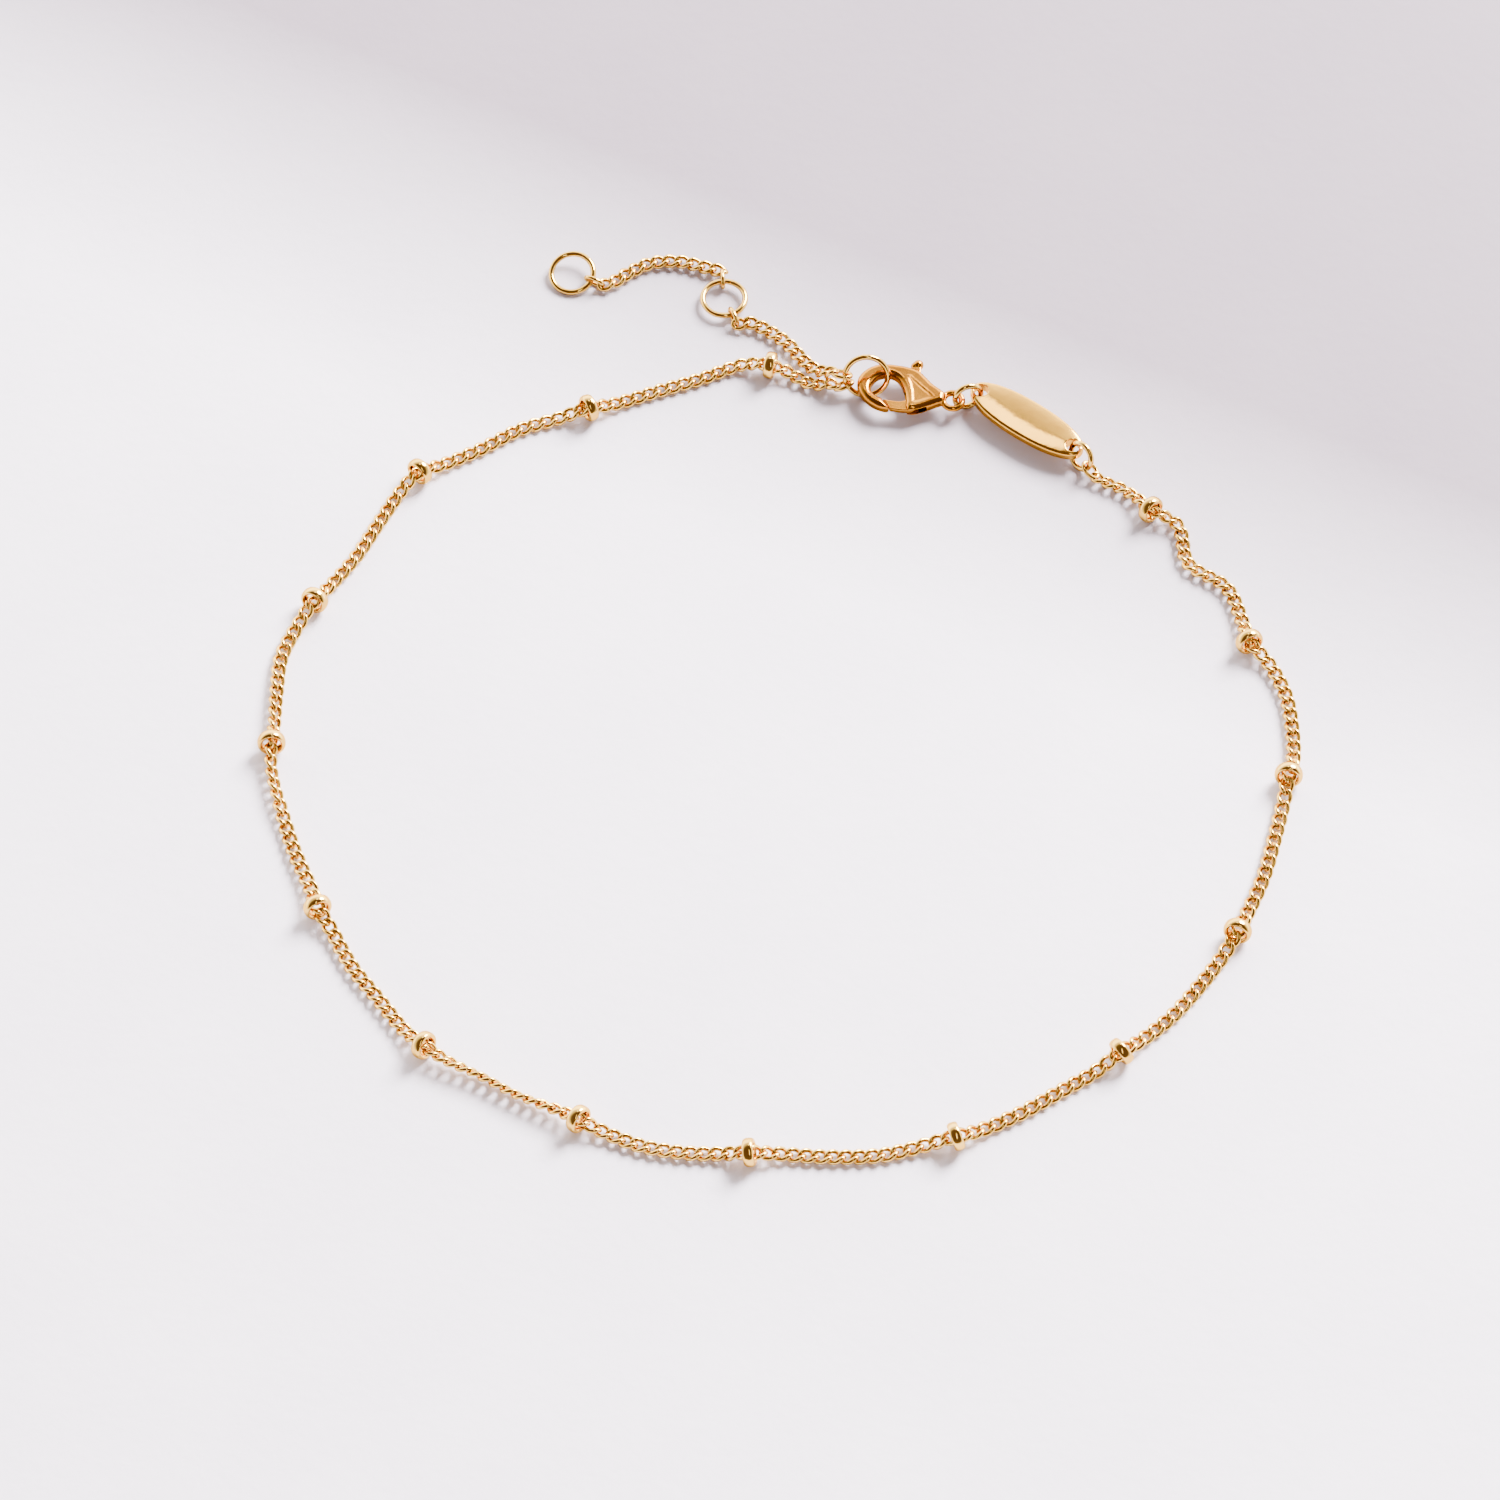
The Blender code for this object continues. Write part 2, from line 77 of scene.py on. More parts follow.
# How high a link's middle is off the ground, lying flat and standing on its edge
LINK_FLAT_REST = 0.37
LINK_EDGE_REST = 0.62
END_LINK_SCALE = 1.12
END_LINK_GAP = 0.06
ROUTE_STEPS = 12

# Rings
RING_WIRE = 0.44
SIZING_RING_RADIUS = 1.63
JUMP_RING_RADIUS = 1.03
RING_STEPS = 72
RING_SIDES = 20

# Clasp, in its own flat frame: u runs from the hook to the eye, v from the gate to the thumb piece
CLASP_PLACE = Vector((5.45, 27.2, 1.15))
CLASP_YAW = math.radians(-10)
CLASP_THICKNESS = 1.1
EYE_CENTRE = (7.95, -0.05)
EYE_RADIUS = 0.72
EYE_WIRE = 0.5
PIVOT = (5.17, 0.0)
PIN_RADIUS = 0.22
PIN_HOLE = 0.3
SLOT_START, SLOT_END = 4.16, 6.1
SLOT_HEIGHT = 0.56
SLOT_REACH = 3
PIN_INSET = 0.03
PIN_SIDES = 16
PIN_HOLE_SIDES = 24
LEVER_THICKNESS = 0.44
THUMB_BALLS = ((4.85, 2.8, 0.4), (4.6, 2.62, 0.3))  # u, v and radius
BALL_COLUMNS, BALL_ROWS = 24, 16
OUTLINE_STEPS = 6
SMALL_OUTLINE_STEPS = 3

# Castings: the grain that they are fused in, how much and how often each is smoothed, and a rim's depth as a
# share of its rounding
CAST_GRAIN = 0.045
SOFTEN_FACTOR = 0.5
BODY_SOFTENING = 5
LEVER_SOFTENING = 3
TAG_SOFTENING = 4
RIM_DEPTH = 0.95

# Tag
TAG_HALF_LENGTH = 5.1
TAG_HALF_WIDTH = 1.68
TAG_ROUNDNESS = 2.2
TAG_THICKNESS = 1.0
TAG_ROUND = 0.16
TAG_SWELL = 0.13
TAG_YAW = math.radians(-37)
TAG_HOLE = 0.55
TAG_HOLE_OFFSET = 4.275
TAG_SIDES = 120
TAG_HOLE_SIDES = 32
TAG_HOLE_REACH = 2
TAG_CENTRE = Vector((18.86, 23.88, 1.18))

# One row for each bead, in the order of the chain from the hook ring round to the tag. The sways are how far
# the chain lies inside the straight line to the next bead, or outside it where negative, at the shares of
# it in SWAY_SHARES. Lift is how far a taut stretch stays off the ground. Lean turns the bead to the left on
# the chain and tilt lifts its front, both in degrees.
Stretch = namedtuple("Stretch", "x y sway_1 sway_2 sway_3 sway_4 lift lean tilt")
SWAY_SHARES = (0.14, 0.38, 0.62, 0.86)
STRETCHES = (
    Stretch(-0.6, 29.2, -1.0, -0.7, -0.5, -0.2, 0.0, 0, 0),
    Stretch(-14.4, 25.2, -0.4, -0.8, -0.4, -0.2, 0.0, 12, 4),
    Stretch(-27.1, 19.3, -0.4, -0.2, 0.1, 0.0, 0.0, 12, 6),
    Stretch(-34.6, 7.6, -0.7, -1.3, -0.9, -0.3, 0.0, 7, 14),
    Stretch(-37.3, -5.0, -0.5, -0.6, -0.5, -0.1, 0.1, 4, 15),
    Stretch(-33.4, -19.1, -0.1, -0.5, -0.4, -0.3, 0.0, -2, 8),
    Stretch(-25.4, -30.6, -0.2, -0.1, -0.2, 0.0, 0.35, 4, 15),
    Stretch(-14.3, -36.6, -0.3, -0.8, -0.7, -0.2, 0.0, -13, 11),
    Stretch(-2.2, -39.3, 0.0, -0.5, -0.7, -0.2, 0.0, 0, 11),
    Stretch(12.4, -38.0, -0.2, -0.4, -0.3, -0.2, 0.0, 0, 11),
    Stretch(24.3, -31.1, -0.3, -0.7, -0.6, -0.3, 0.0, 0, 14),
    Stretch(33.0, -21.1, -0.2, -0.5, -0.4, -0.2, 0.0, 8, -12),
    Stretch(37.3, -7.8, -0.8, -1.42, -1.62, -1.0, 0.0, 2, -14),
    Stretch(34.9, 3.9, -0.7, -1.4, -0.1, -1.2, 0.0, -5, -10),
    Stretch(28.0, 15.8, 0.0, 0.0, 0.0, 0.0, 0.0, -8, -8),
)
JOIN_BEAD = 9
CHAIN_START = ((4.25, 27.5, 0.75), (3.42, 27.69, 0.52), (2.05, 28.08, 0.4), (1.0, 28.75, 0.55))
CHAIN_END = ((26.9, 17.3, 0.55), (26.0, 18.1, 0.35), (24.9, 18.65, 0.35))
# The chain's middle is CHAIN_REST off the ground between two beads, and CHAIN_RISE higher next to a bead
CHAIN_REST = 0.3
CHAIN_RISE = 0.2

# How far the flat links are rolled on the chain's own line, along it. Place counts beads: 6.5 is half way
# from the sixth to the seventh, 0 is the hook ring and 16 the tag ring.
Roll = namedtuple("Roll", "place degrees")
ROLLS = (
    Roll(0.0, 20), Roll(1.0, 5), Roll(2.0, -5), Roll(3.0, 5), Roll(4.0, 15), Roll(4.7, -40),
    Roll(5.0, -60), Roll(5.3, -50), Roll(5.5, 0), Roll(6.0, 0), Roll(7.0, -15), Roll(7.35, -65),
    Roll(7.7, -65), Roll(8.0, -10), Roll(9.0, 0), Roll(10.0, 0), Roll(12.0, 5), Roll(14.0, 10),
    Roll(16.0, 30),
)

# Rings: centre, then the two directions that span the ring's plane
Ring = namedtuple("Ring", "centre across rise radius")
LEAN = math.radians(63.5)
RINGS = {
    "hook_ring": Ring(
        (6.72, 27.7, 1.68), (1, 0, 0), (0, math.cos(LEAN), math.sin(LEAN)), SIZING_RING_RADIUS,
    ),
    "middle_ring": Ring((-4.15, 35.87, 0.6), (1, 0, 0), (0, 1, 0), SIZING_RING_RADIUS),
    "end_ring": Ring((-15.87, 38.31, 0.6), (1, 0, 0.09), (0, 1, 0.21), SIZING_RING_RADIUS),
    "tag_link": Ring((14.43, 26.135, 1.23), (0.954, 0.3, 0), (-0.05, 0.16, 0.98), JUMP_RING_RADIUS),
    "tag_ring": Ring((22.89, 20.59, 1.19), (0.65, -0.76, 0), (0.26, 0.22, 0.94), JUMP_RING_RADIUS),
}

# Chains' ends. Each end link hooks a ring at an angle in the ring's plane, from its across direction
Hook = namedtuple("Hook", "ring degrees")
MAIN_HOOKS = (Hook("hook_ring", 205), Hook("tag_ring", -20))
Extender = namedtuple("Extender", "name start route end")
EXTENDERS = (
    Extender(
        "extender_chain_inner", Hook("hook_ring", 176.5),
        (
            (3.42, 28.63, 0.95), (2.55, 29.3, 0.6), (1.83, 30.22, 0.42), (0.61, 31.79, 0.42),
            (-1.15, 33.16, 0.42), (-2.23, 33.62, 0.5),
        ),
        Hook("middle_ring", -67),
    ),
    Extender(
        "extender_chain_outer", Hook("middle_ring", 93.5),
        (
            (-5.45, 38.89, 0.48), (-7.63, 39.53, 0.42), (-9.79, 39.39, 0.42), (-11.63, 38.38, 0.42),
            (-12.6, 37.6, 0.48),
        ),
        Hook("end_ring", -25.5),
    ),
)

# Outlines in the clasp's frame
HOOK_OUTER = (
    (3.32, -1.76), (3.1, -1.82), (2.4, -1.76), (1.6, -1.38), (0.95, -0.78), (0.6, -0.15), (0.52, 0.45),
    (0.7, 1.05), (1.15, 1.65), (1.85, 2.12), (2.7, 2.3), (4.1, 2.28), (4.99, 2.08), (5.61, 1.62),
    (6.24, 1.06), (6.9, 0.66), (7.34, 0.36),
)
BODY_LOWER = ((7.34, -0.44), (6.84, -0.74), (6.24, -1.12), (5.61, -1.5), (5.08, -1.7), (4.68, -1.72))
MOUTH = (
    (4.47, -1.3), (4.41, -0.75), (4.19, 0.0), (3.83, 0.68), (3.43, 1.1), (2.95, 1.28), (2.45, 1.22),
    (2.05, 0.98), (1.74, 0.5), (1.64, 0.05), (1.74, -0.38), (2.02, -0.7), (2.62, -0.94),
)
FACET = (
    (4.41, 1.5), (4.98, 1.1), (5.69, 0.55), (6.37, 0.06), (6.68, -0.3), (6.06, -0.72), (5.26, -1.12),
    (4.9, -1.1), (4.77, -0.5), (4.56, 0.25), (4.28, 0.95), (4.1, 1.35),
)
FACET_DEPTH = 0.045
FACET_SOFT = 0.36
BODY_ROUND = 0.42
LEVER_GATE = ((2.72, -0.92), (3.48, -0.96), (4.1, -0.9), (4.58, -0.58))
LEVER_THUMB = (
    (4.6, 0.5), (4.6, 1.2), (4.52, 2.0), (4.44, 2.6), (4.56, 2.95), (4.86, 3.05), (5.08, 2.8), (5.14, 2.2),
    (5.21, 1.4), (5.48, 0.8),
)
LEVER_BACK = ((5.72, 0.0), (5.61, -0.9), (5.26, -1.4), (4.72, -1.66), (4.1, -1.74), (3.37, -1.73))


# Materials. A noise is its waves for each metre, its detail and, where given, its roughness.
TINT_NOISE = (420, 3)
TINT_STOPS = (0.35, 0.65)
POLISH_NOISE = (1500, 4, 0.6)
DENT_DETAIL = 2


def new_material(name):
    material = bpy.data.materials.new(name)
    material.use_nodes = True
    tree = material.node_tree
    return material, tree, tree.nodes["Principled BSDF"]


def add_node(tree, kind, **values):
    """A node with its settings and, for names that are its sockets, their default values."""
    node = tree.nodes.new(kind)
    for name, value in values.items():
        if hasattr(node, name):
            setattr(node, name, value)
        else:
            node.inputs[name.replace("_", " ").title()].default_value = value
    return node


def noise_at(tree, scale, detail, roughness=0.5):
    """Noise in the object's own coordinates, with scale in waves for each metre."""
    place = add_node(tree, "ShaderNodeTexCoord")
    noise = add_node(tree, "ShaderNodeTexNoise", scale=scale, detail=detail, roughness=roughness)
    tree.links.new(place.outputs["Object"], noise.inputs["Vector"])
    return noise


def ramp(tree, source, stops):
    node = add_node(tree, "ShaderNodeValToRGB")
    elements = node.color_ramp.elements
    for _ in range(len(stops) - 2):
        elements.new(0.5)
    for element, (position, colour) in zip(elements, stops):
        element.position = position
        element.color = (*colour, 1)
    tree.links.new(source, node.inputs["Fac"])
    return node.outputs["Color"]


def mapped(tree, source, low, high):
    node = add_node(tree, "ShaderNodeMapRange")
    node.inputs["To Min"].default_value = low
    node.inputs["To Max"].default_value = high
    tree.links.new(source, node.inputs["Value"])
    return node.outputs["Result"]


def gold(name, pale, deep, smooth, rough, dent, dent_size):
    """Polished gold that varies in colour, and in roughness from smooth to rough, with dents in mm if any."""
    material, tree, shader = new_material(name)
    shader.inputs["Metallic"].default_value = 1
    shader.inputs["Specular Tint"].default_value = EDGE_TINT
    tint = noise_at(tree, *TINT_NOISE)
    colour = ramp(tree, tint.outputs["Fac"], ((TINT_STOPS[0], deep), (TINT_STOPS[1], pale)))
    tree.links.new(colour, shader.inputs["Base Color"])
    polish = noise_at(tree, *POLISH_NOISE)
    tree.links.new(mapped(tree, polish.outputs["Fac"], smooth, rough), shader.inputs["Roughness"])
    if dent:
        waves = noise_at(tree, 1 / (dent_size * MM), DENT_DETAIL)
        bump = add_node(tree, "ShaderNodeBump")
        bump.inputs["Strength"].default_value = 1
        bump.inputs["Distance"].default_value = dent * MM
        tree.links.new(waves.outputs["Fac"], bump.inputs["Height"])
        tree.links.new(bump.outputs["Normal"], shader.inputs["Normal"])
    return material


PALE_GOLD = (0.76, 0.47, 0.1)
DEEP_GOLD = (0.62, 0.36, 0.06)
WARM_GOLD = (0.74, 0.39, 0.055)
# Partly painted shade: the cast pieces' darker golds, partly their own tone, partly the dark they mirror
RED_GOLD_WITH_PAINTED_SHADE = (0.5, 0.21, 0.02)
BROWN_GOLD_WITH_PAINTED_SHADE = (0.37, 0.14, 0.01)
WARM_DEEP_GOLD = (0.66, 0.34, 0.045)
EDGE_TINT = (1.0, 0.8, 0.5, 1)
Finish = namedtuple("Finish", "pale deep smooth rough dent dent_size")
FINISHES = {
    "chain": Finish(PALE_GOLD, DEEP_GOLD, 0.05, 0.13, 0.0, 0.6),
    "bead": Finish(PALE_GOLD, DEEP_GOLD, 0.06, 0.14, 0.012, 0.7),
    "ring": Finish(PALE_GOLD, DEEP_GOLD, 0.06, 0.14, 0.008, 0.8),
    # cast and trigger: a deeper gold that is partly their own tone and partly painted shade
    "cast": Finish(RED_GOLD_WITH_PAINTED_SHADE, BROWN_GOLD_WITH_PAINTED_SHADE, 0.1, 0.2, 0.02, 0.7),
    "trigger": Finish(RED_GOLD_WITH_PAINTED_SHADE, BROWN_GOLD_WITH_PAINTED_SHADE, 0.14, 0.24, 0.01, 0.7),
    "tag": Finish(WARM_GOLD, WARM_DEEP_GOLD, 0.07, 0.14, 0.01, 0.9),
}
materials = {name: gold(f"{name}_gold", *finish) for name, finish in FINISHES.items()}


# Meshes

def add_object(name, data):
    made = bpy.data.objects.new(name, data)
    bpy.context.scene.collection.objects.link(made)
    return made


def add_mesh(name, vertices, faces, material, smooth=True):
    """A mesh object from points in mm."""
    mesh = bpy.data.meshes.new(name)
    mesh.vertices.add(len(vertices))
    mesh.vertices.foreach_set("co", (np.asarray(vertices, float) * MM).ravel())
    sides = faces.shape[1]
    mesh.loops.add(faces.size)
    mesh.loops.foreach_set("vertex_index", faces.ravel())
    mesh.polygons.add(len(faces))
    mesh.polygons.foreach_set("loop_start", np.arange(len(faces)) * sides)
    mesh.polygons.foreach_set("loop_total", np.full(len(faces), sides))
    mesh.update(calc_edges=True)
    mesh.validate()
    if smooth:
        mesh.shade_smooth()
    mesh.materials.append(material)
    return add_object(name, mesh)


def hoop_faces(rows, columns):
    """Quads of a grid that closes on itself both ways."""
    row, column = np.meshgrid(np.arange(rows), np.arange(columns), indexing="ij")
    next_row, next_column = (row + 1) % rows, (column + 1) % columns
    corners = (row * columns + column, next_row * columns + column, next_row * columns + next_column,
               row * columns + next_column)
    return np.stack(corners, -1).reshape(-1, 4)


def closed_wire(points, radius, sides):
    """Vertices round a closed line of points near its own middle, row by row."""
    points = np.asarray(points, float)
    along = np.roll(points, -1, axis=0) - np.roll(points, 1, axis=0)
    along /= np.linalg.norm(along, axis=1, keepdims=True)
    outward = points - points.mean(0)
    outward -= along * (outward * along).sum(1, keepdims=True)
    outward /= np.linalg.norm(outward, axis=1, keepdims=True)
    third = np.cross(along, outward)
    angles = 2 * np.pi * np.arange(sides) / sides
    round_it = outward[:, None] * np.cos(angles)[:, None] + third[:, None] * np.sin(angles)[:, None]
    return (points[:, None] + radius * round_it).reshape(-1, 3)


def superellipse(half_width, half_height, roundness, count):
    angles = 2 * np.pi * np.arange(count) / count
    c, s = np.cos(angles), np.sin(angles)
    power = 2 / roundness
    return half_width * np.sign(c) * np.abs(c) ** power, half_height * np.sign(s) * np.abs(s) ** power


# Routes

def smooth_route(points, per=ROUTE_STEPS):
    """A smooth curve through the points: centripetal Catmull-Rom, with per steps between two of them."""
    points = [Vector(p) for p in points]
    padded = [2 * points[0] - points[1], *points, 2 * points[-1] - points[-2]]
    route = []
    for p0, p1, p2, p3 in zip(padded, padded[1:], padded[2:], padded[3:]):
        t1 = (p1 - p0).length ** 0.5
        t2 = t1 + (p2 - p1).length ** 0.5
        t3 = t2 + (p3 - p2).length ** 0.5
        for step in range(per):
            t = t1 + (t2 - t1) * step / per
            a1 = p0.lerp(p1, t / t1)
            a2 = p1.lerp(p2, (t - t1) / (t2 - t1))
            a3 = p2.lerp(p3, (t - t2) / (t3 - t2))
            b1 = a1.lerp(a2, t / t2)
            b2 = a2.lerp(a3, (t - t1) / (t3 - t1))
            route.append(b1.lerp(b2, (t - t1) / (t2 - t1)))
    return [*route, points[-1]]


def distances(route):
    """How far along the route each of its points is."""
    steps = [(b - a).length for a, b in zip(route, route[1:])]
    return np.concatenate([[0.0], np.cumsum(steps)])


def frame_of(along, level):
    """Rotation whose X is along and whose Y is the direction level, squared up to X."""
    along = along.normalized()
    level = (level - along * level.dot(along)).normalized()
    return Matrix((along, level, along.cross(level))).transposed()


def ring_frame(ring):
    return frame_of(Vector(ring.across), Vector(ring.rise))


def bead_profile():
    """The section of a bead's ring, across and up from the section's own middle."""
    return superellipse(BEAD_HALF_WIDTH, BEAD_THICKNESS / 2, BEAD_ROUNDNESS, BEAD_PROFILE_POINTS)


def rest_height(tilt):
    """How high the middle of a bead is that leans back by the tilt, in degrees, and touches the ground."""
    turn = math.radians(abs(tilt))
    across, up = bead_profile()
    return max((across + BEAD_MIDDLE) * math.cos(turn) + up * math.sin(turn))


def bead_places():
    return [Vector((row.x, row.y, rest_height(row.tilt))) for row in STRETCHES]


def main_route_points(start, end):
    """The points that the main chain goes through between its end links, and where the beads are in them."""
    through = [start, *(Vector(p) for p in CHAIN_START)]
    bead_at = []
    beads = bead_places()
    for row, bead, following in zip(STRETCHES, beads, beads[1:]):
        run = following - bead
        inward = Vector((-run.y, run.x, 0)).normalized()
        bead_at.append(len(through))
        through.append(bead)
        for share, sway in zip(SWAY_SHARES, row[2:6]):
            height = CHAIN_REST + row.lift + (CHAIN_RISE if share in (SWAY_SHARES[0], SWAY_SHARES[-1]) else 0)
            place = bead + run * share + inward * sway
            through.append(Vector((place.x, place.y, height)))
    bead_at.append(len(through))
    through += [beads[-1], *(Vector(p) for p in CHAIN_END), end]
    return through, bead_at


# Chains

def link_points(half_length, half_width, twist):
    """The centre line of one link along X: an oval whose ends are turned apart by twice the twist."""
    angles = 2 * np.pi * np.arange(LINK_STEPS) / LINK_STEPS
    turn = twist * np.cos(angles)
    across = half_width * np.sin(angles)
    return np.stack([half_length * np.cos(angles), across * np.cos(turn), across * np.sin(turn)], 1)


Link = namedtuple("Link", "centre rotation half_length half_width twist")


def hook_link(hook, away):
    """The link round a ring's wire, when its chain leaves in a direction, and its outer end."""
    ring = RINGS[hook.ring]
    turned = ring_frame(ring)
    angle = math.radians(hook.degrees)
    outward = turned @ Vector((math.cos(angle), math.sin(angle), 0))
    wire_direction = turned @ Vector((-math.sin(angle), math.cos(angle), 0))
    along = (away - wire_direction * away.dot(wire_direction)).normalized()
    half_length = (LINK_PITCH + LINK_OVERLAP) / 2 * END_LINK_SCALE
    reach = half_length - (RING_WIRE + LINK_WIRE) / 2 - END_LINK_GAP
    centre = Vector(ring.centre) + outward * ring.radius + along * reach
    rotation = frame_of(along, along.cross(wire_direction))
    link = Link(centre, rotation, half_length, LINK_HALF_WIDTH * END_LINK_SCALE, 0.0)
    return link, centre + along * half_length


def links_along(route, roll_at):
    """Links that interlock along the route; roll_at gives their roll in degrees at a distance."""
    far = distances(route)
    flat = np.array([tuple(p) for p in route])
    count = round((far[-1] + LINK_OVERLAP) / LINK_PITCH)
    pitch = (far[-1] + LINK_OVERLAP) / count
    half_length = (pitch + LINK_OVERLAP) / 2
    wanted = (pitch - LINK_OVERLAP) / 2 + pitch * np.arange(count)

    def point_at(distance):
        return Vector([np.interp(distance, far, flat[:, axis]) for axis in range(3)])

    links = []
    for distance in wanted:
        along = point_at(distance + pitch / 2) - point_at(distance - pitch / 2)
        roll = math.radians(roll_at(distance))
        level = Vector((0, 0, 1)).cross(along)
        rotation = Matrix.Rotation(roll, 3, along) @ frame_of(along, level)
        centre = point_at(distance)
        rest = math.hypot(LINK_FLAT_REST * math.cos(roll), LINK_EDGE_REST * math.sin(roll))
        centre.z = max(centre.z, rest)
        links.append(Link(centre, rotation, half_length, LINK_HALF_WIDTH, LINK_TWIST))
    return links, wanted


def build_links(name, links):
    """All the links of a chain as one mesh."""
    vertices = []
    for link in links:
        points = link_points(link.half_length, link.half_width, link.twist)
        turned = points @ np.array(link.rotation).T + np.array(link.centre)
        vertices.append(closed_wire(turned, LINK_WIRE / 2, LINK_SIDES))
    one = hoop_faces(LINK_STEPS, LINK_SIDES)
    faces = np.concatenate([one + index * LINK_STEPS * LINK_SIDES for index in range(len(links))])
    return add_mesh(name, np.concatenate(vertices), faces, materials["chain"])


def place_piece(piece, body, *nodes):
    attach(piece, body)
    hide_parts(*nodes)


def build_main_chain():
    beads = bead_places()
    first, start = hook_link(MAIN_HOOKS[0], Vector(CHAIN_START[0]) - Vector(RINGS["hook_ring"].centre))
    last, end = hook_link(MAIN_HOOKS[1], Vector(CHAIN_END[-1]) - Vector(RINGS["tag_ring"].centre))
    through, bead_at = main_route_points(start, end)
    route = smooth_route(through)
    far = distances(route)
    bead_far = [far[index * ROUTE_STEPS] for index in bead_at]
    marks = [0.0, *bead_far, far[-1]]

    def roll_at(distance):
        place = np.interp(distance, marks, range(len(marks)))
        return np.interp(place, [row.place for row in ROLLS], [row.degrees for row in ROLLS])

    links, wanted = links_along(route, roll_at)
    join = bead_far[JOIN_BEAD - 1]
    left = [first, *(link for link, distance in zip(links, wanted) if distance < join)]
    right = [*(link for link, distance in zip(links, wanted) if distance >= join), last]
    place_piece(build_links("curb_links_left", left), "anklet", "main_chain_left")
    place_piece(build_links("curb_links_right", right), "anklet", "main_chain_right")
    return route, bead_at, beads


def build_extenders():
    for extender in EXTENDERS:
        via = [Vector(p) for p in extender.route]
        first, start = hook_link(extender.start, via[0] - Vector(RINGS[extender.start.ring].centre))
        last, end = hook_link(extender.end, via[-1] - Vector(RINGS[extender.end.ring].centre))
        links, _ = links_along(smooth_route([start, *via, end]), lambda distance: 0.0)
        name = extender.name.replace("extender_chain", "extender_links")
        place_piece(build_links(name, [first, *links, last]), "anklet", extender.name)


# Beads and rings

def build_beads(route, bead_at, beads):
    out, up = bead_profile()
    angles = 2 * np.pi * np.arange(BEAD_STEPS) / BEAD_STEPS
    distance = BEAD_MIDDLE + out
    shape = np.stack([
        np.cos(angles)[:, None] * distance,
        np.sin(angles)[:, None] * distance,
        np.broadcast_to(up, (BEAD_STEPS, BEAD_PROFILE_POINTS)),
    ], -1).reshape(-1, 3)
    faces = hoop_faces(BEAD_STEPS, BEAD_PROFILE_POINTS)
    for number, (row, index, place) in enumerate(zip(STRETCHES, bead_at, beads), start=1):
        at = index * ROUTE_STEPS
        heading = route[at + 1] - route[at - 1]
        heading.z = 0
        turned = Matrix.Rotation(math.radians(row.lean), 3, "Z") @ heading.normalized()
        along = turned + Vector((0, 0, math.tan(math.radians(row.tilt))))
        rotation = np.array(frame_of(along, Vector((0, 0, 1))))[:, [1, 2, 0]]
        points = shape @ rotation.T + np.array(place)
        bead = add_mesh(f"ring_bead_{number:02d}", points, faces, materials["bead"])
        place_piece(bead, "anklet", f"bead_{number:02d}")


def unit_circle():
    angles = 2 * np.pi * np.arange(RING_STEPS) / RING_STEPS
    return np.stack([np.cos(angles), np.sin(angles), np.zeros(RING_STEPS)], 1)


def build_rings():
    circle = unit_circle()
    for name, ring in RINGS.items():
        points = ring.radius * circle @ np.array(ring_frame(ring)).T + np.array(ring.centre)
        wire = closed_wire(points, RING_WIRE / 2, RING_SIDES)
        piece = add_mesh(f"{name}_wire", wire, hoop_faces(RING_STEPS, RING_SIDES), materials["ring"])
        place_piece(piece, "anklet", name)


# Cast pieces. They are modelled in mm in a flat frame, fused and rounded, and then put in place.

def bent(points, per=OUTLINE_STEPS):
    """A flat outline's points, joined by a smooth curve."""
    return [(p.x, p.y) for p in smooth_route([(u, v, 0) for u, v in points], per)]


def round_outline(centre, radius, sides):
    """The corners of a round hole or pin."""
    angles = np.linspace(0, 2 * math.pi, sides + 1)[:-1]
    return [(centre[0] + radius * math.cos(a), centre[1] + radius * math.sin(a)) for a in angles]


def prism(name, outline, low, high):
    """A flat-sided solid between two heights."""
    work = bmesh.new()
    bottom = [work.verts.new((u, v, low)) for u, v in outline]
    top = [work.verts.new((u, v, high)) for u, v in outline]
    work.faces.new(bottom[::-1])
    work.faces.new(top)
    for index in range(len(outline)):
        after = (index + 1) % len(outline)
        work.faces.new((bottom[index], bottom[after], top[after], top[index]))
    bmesh.ops.recalc_face_normals(work, faces=work.faces)
    mesh = bpy.data.meshes.new(name)
    work.to_mesh(mesh)
    work.free()
    return add_object(name, mesh)


def combine(piece, operation, other):
    modifier = piece.modifiers.new(other.name, "BOOLEAN")
    modifier.operation = operation
    modifier.solver = "EXACT"
    modifier.object = other


def settled(piece):
    """The object's mesh with its modifiers applied."""
    bpy.context.view_layer.update()
    return bpy.data.meshes.new_from_object(piece.evaluated_get(bpy.context.evaluated_depsgraph_get()))


def fuse(piece, grain, rounding):
    """Adds the modifiers that fuse a raw solid and round its edges as a casting's are."""
    remesh = piece.modifiers.new("fuse", "REMESH")
    remesh.mode = "VOXEL"
    remesh.voxel_size = grain
    soften = piece.modifiers.new("soften", "SMOOTH")
    soften.factor = SOFTEN_FACTOR
    soften.iterations = rounding


def rim_distance(places, outline):
    """How far each place is from an outline, and whether it is inside."""
    starts = np.array(outline)
    steps = np.roll(starts, -1, axis=0) - starts
    nearest = np.full(len(places), np.inf)
    inside = np.zeros(len(places), bool)
    for start, step in zip(starts, steps):
        away = places[:, :2] - start
        share = np.clip(away @ step / (step @ step), 0, 1)
        nearest = np.minimum(nearest, np.linalg.norm(away - share[:, None] * step, axis=1))
        crosses = (away[:, 1] >= 0) != (away[:, 1] >= step[1])
        leftward = (away[:, 0] * step[1] < away[:, 1] * step[0]) == (step[1] > 0)
        inside ^= crosses & leftward
    return nearest, inside


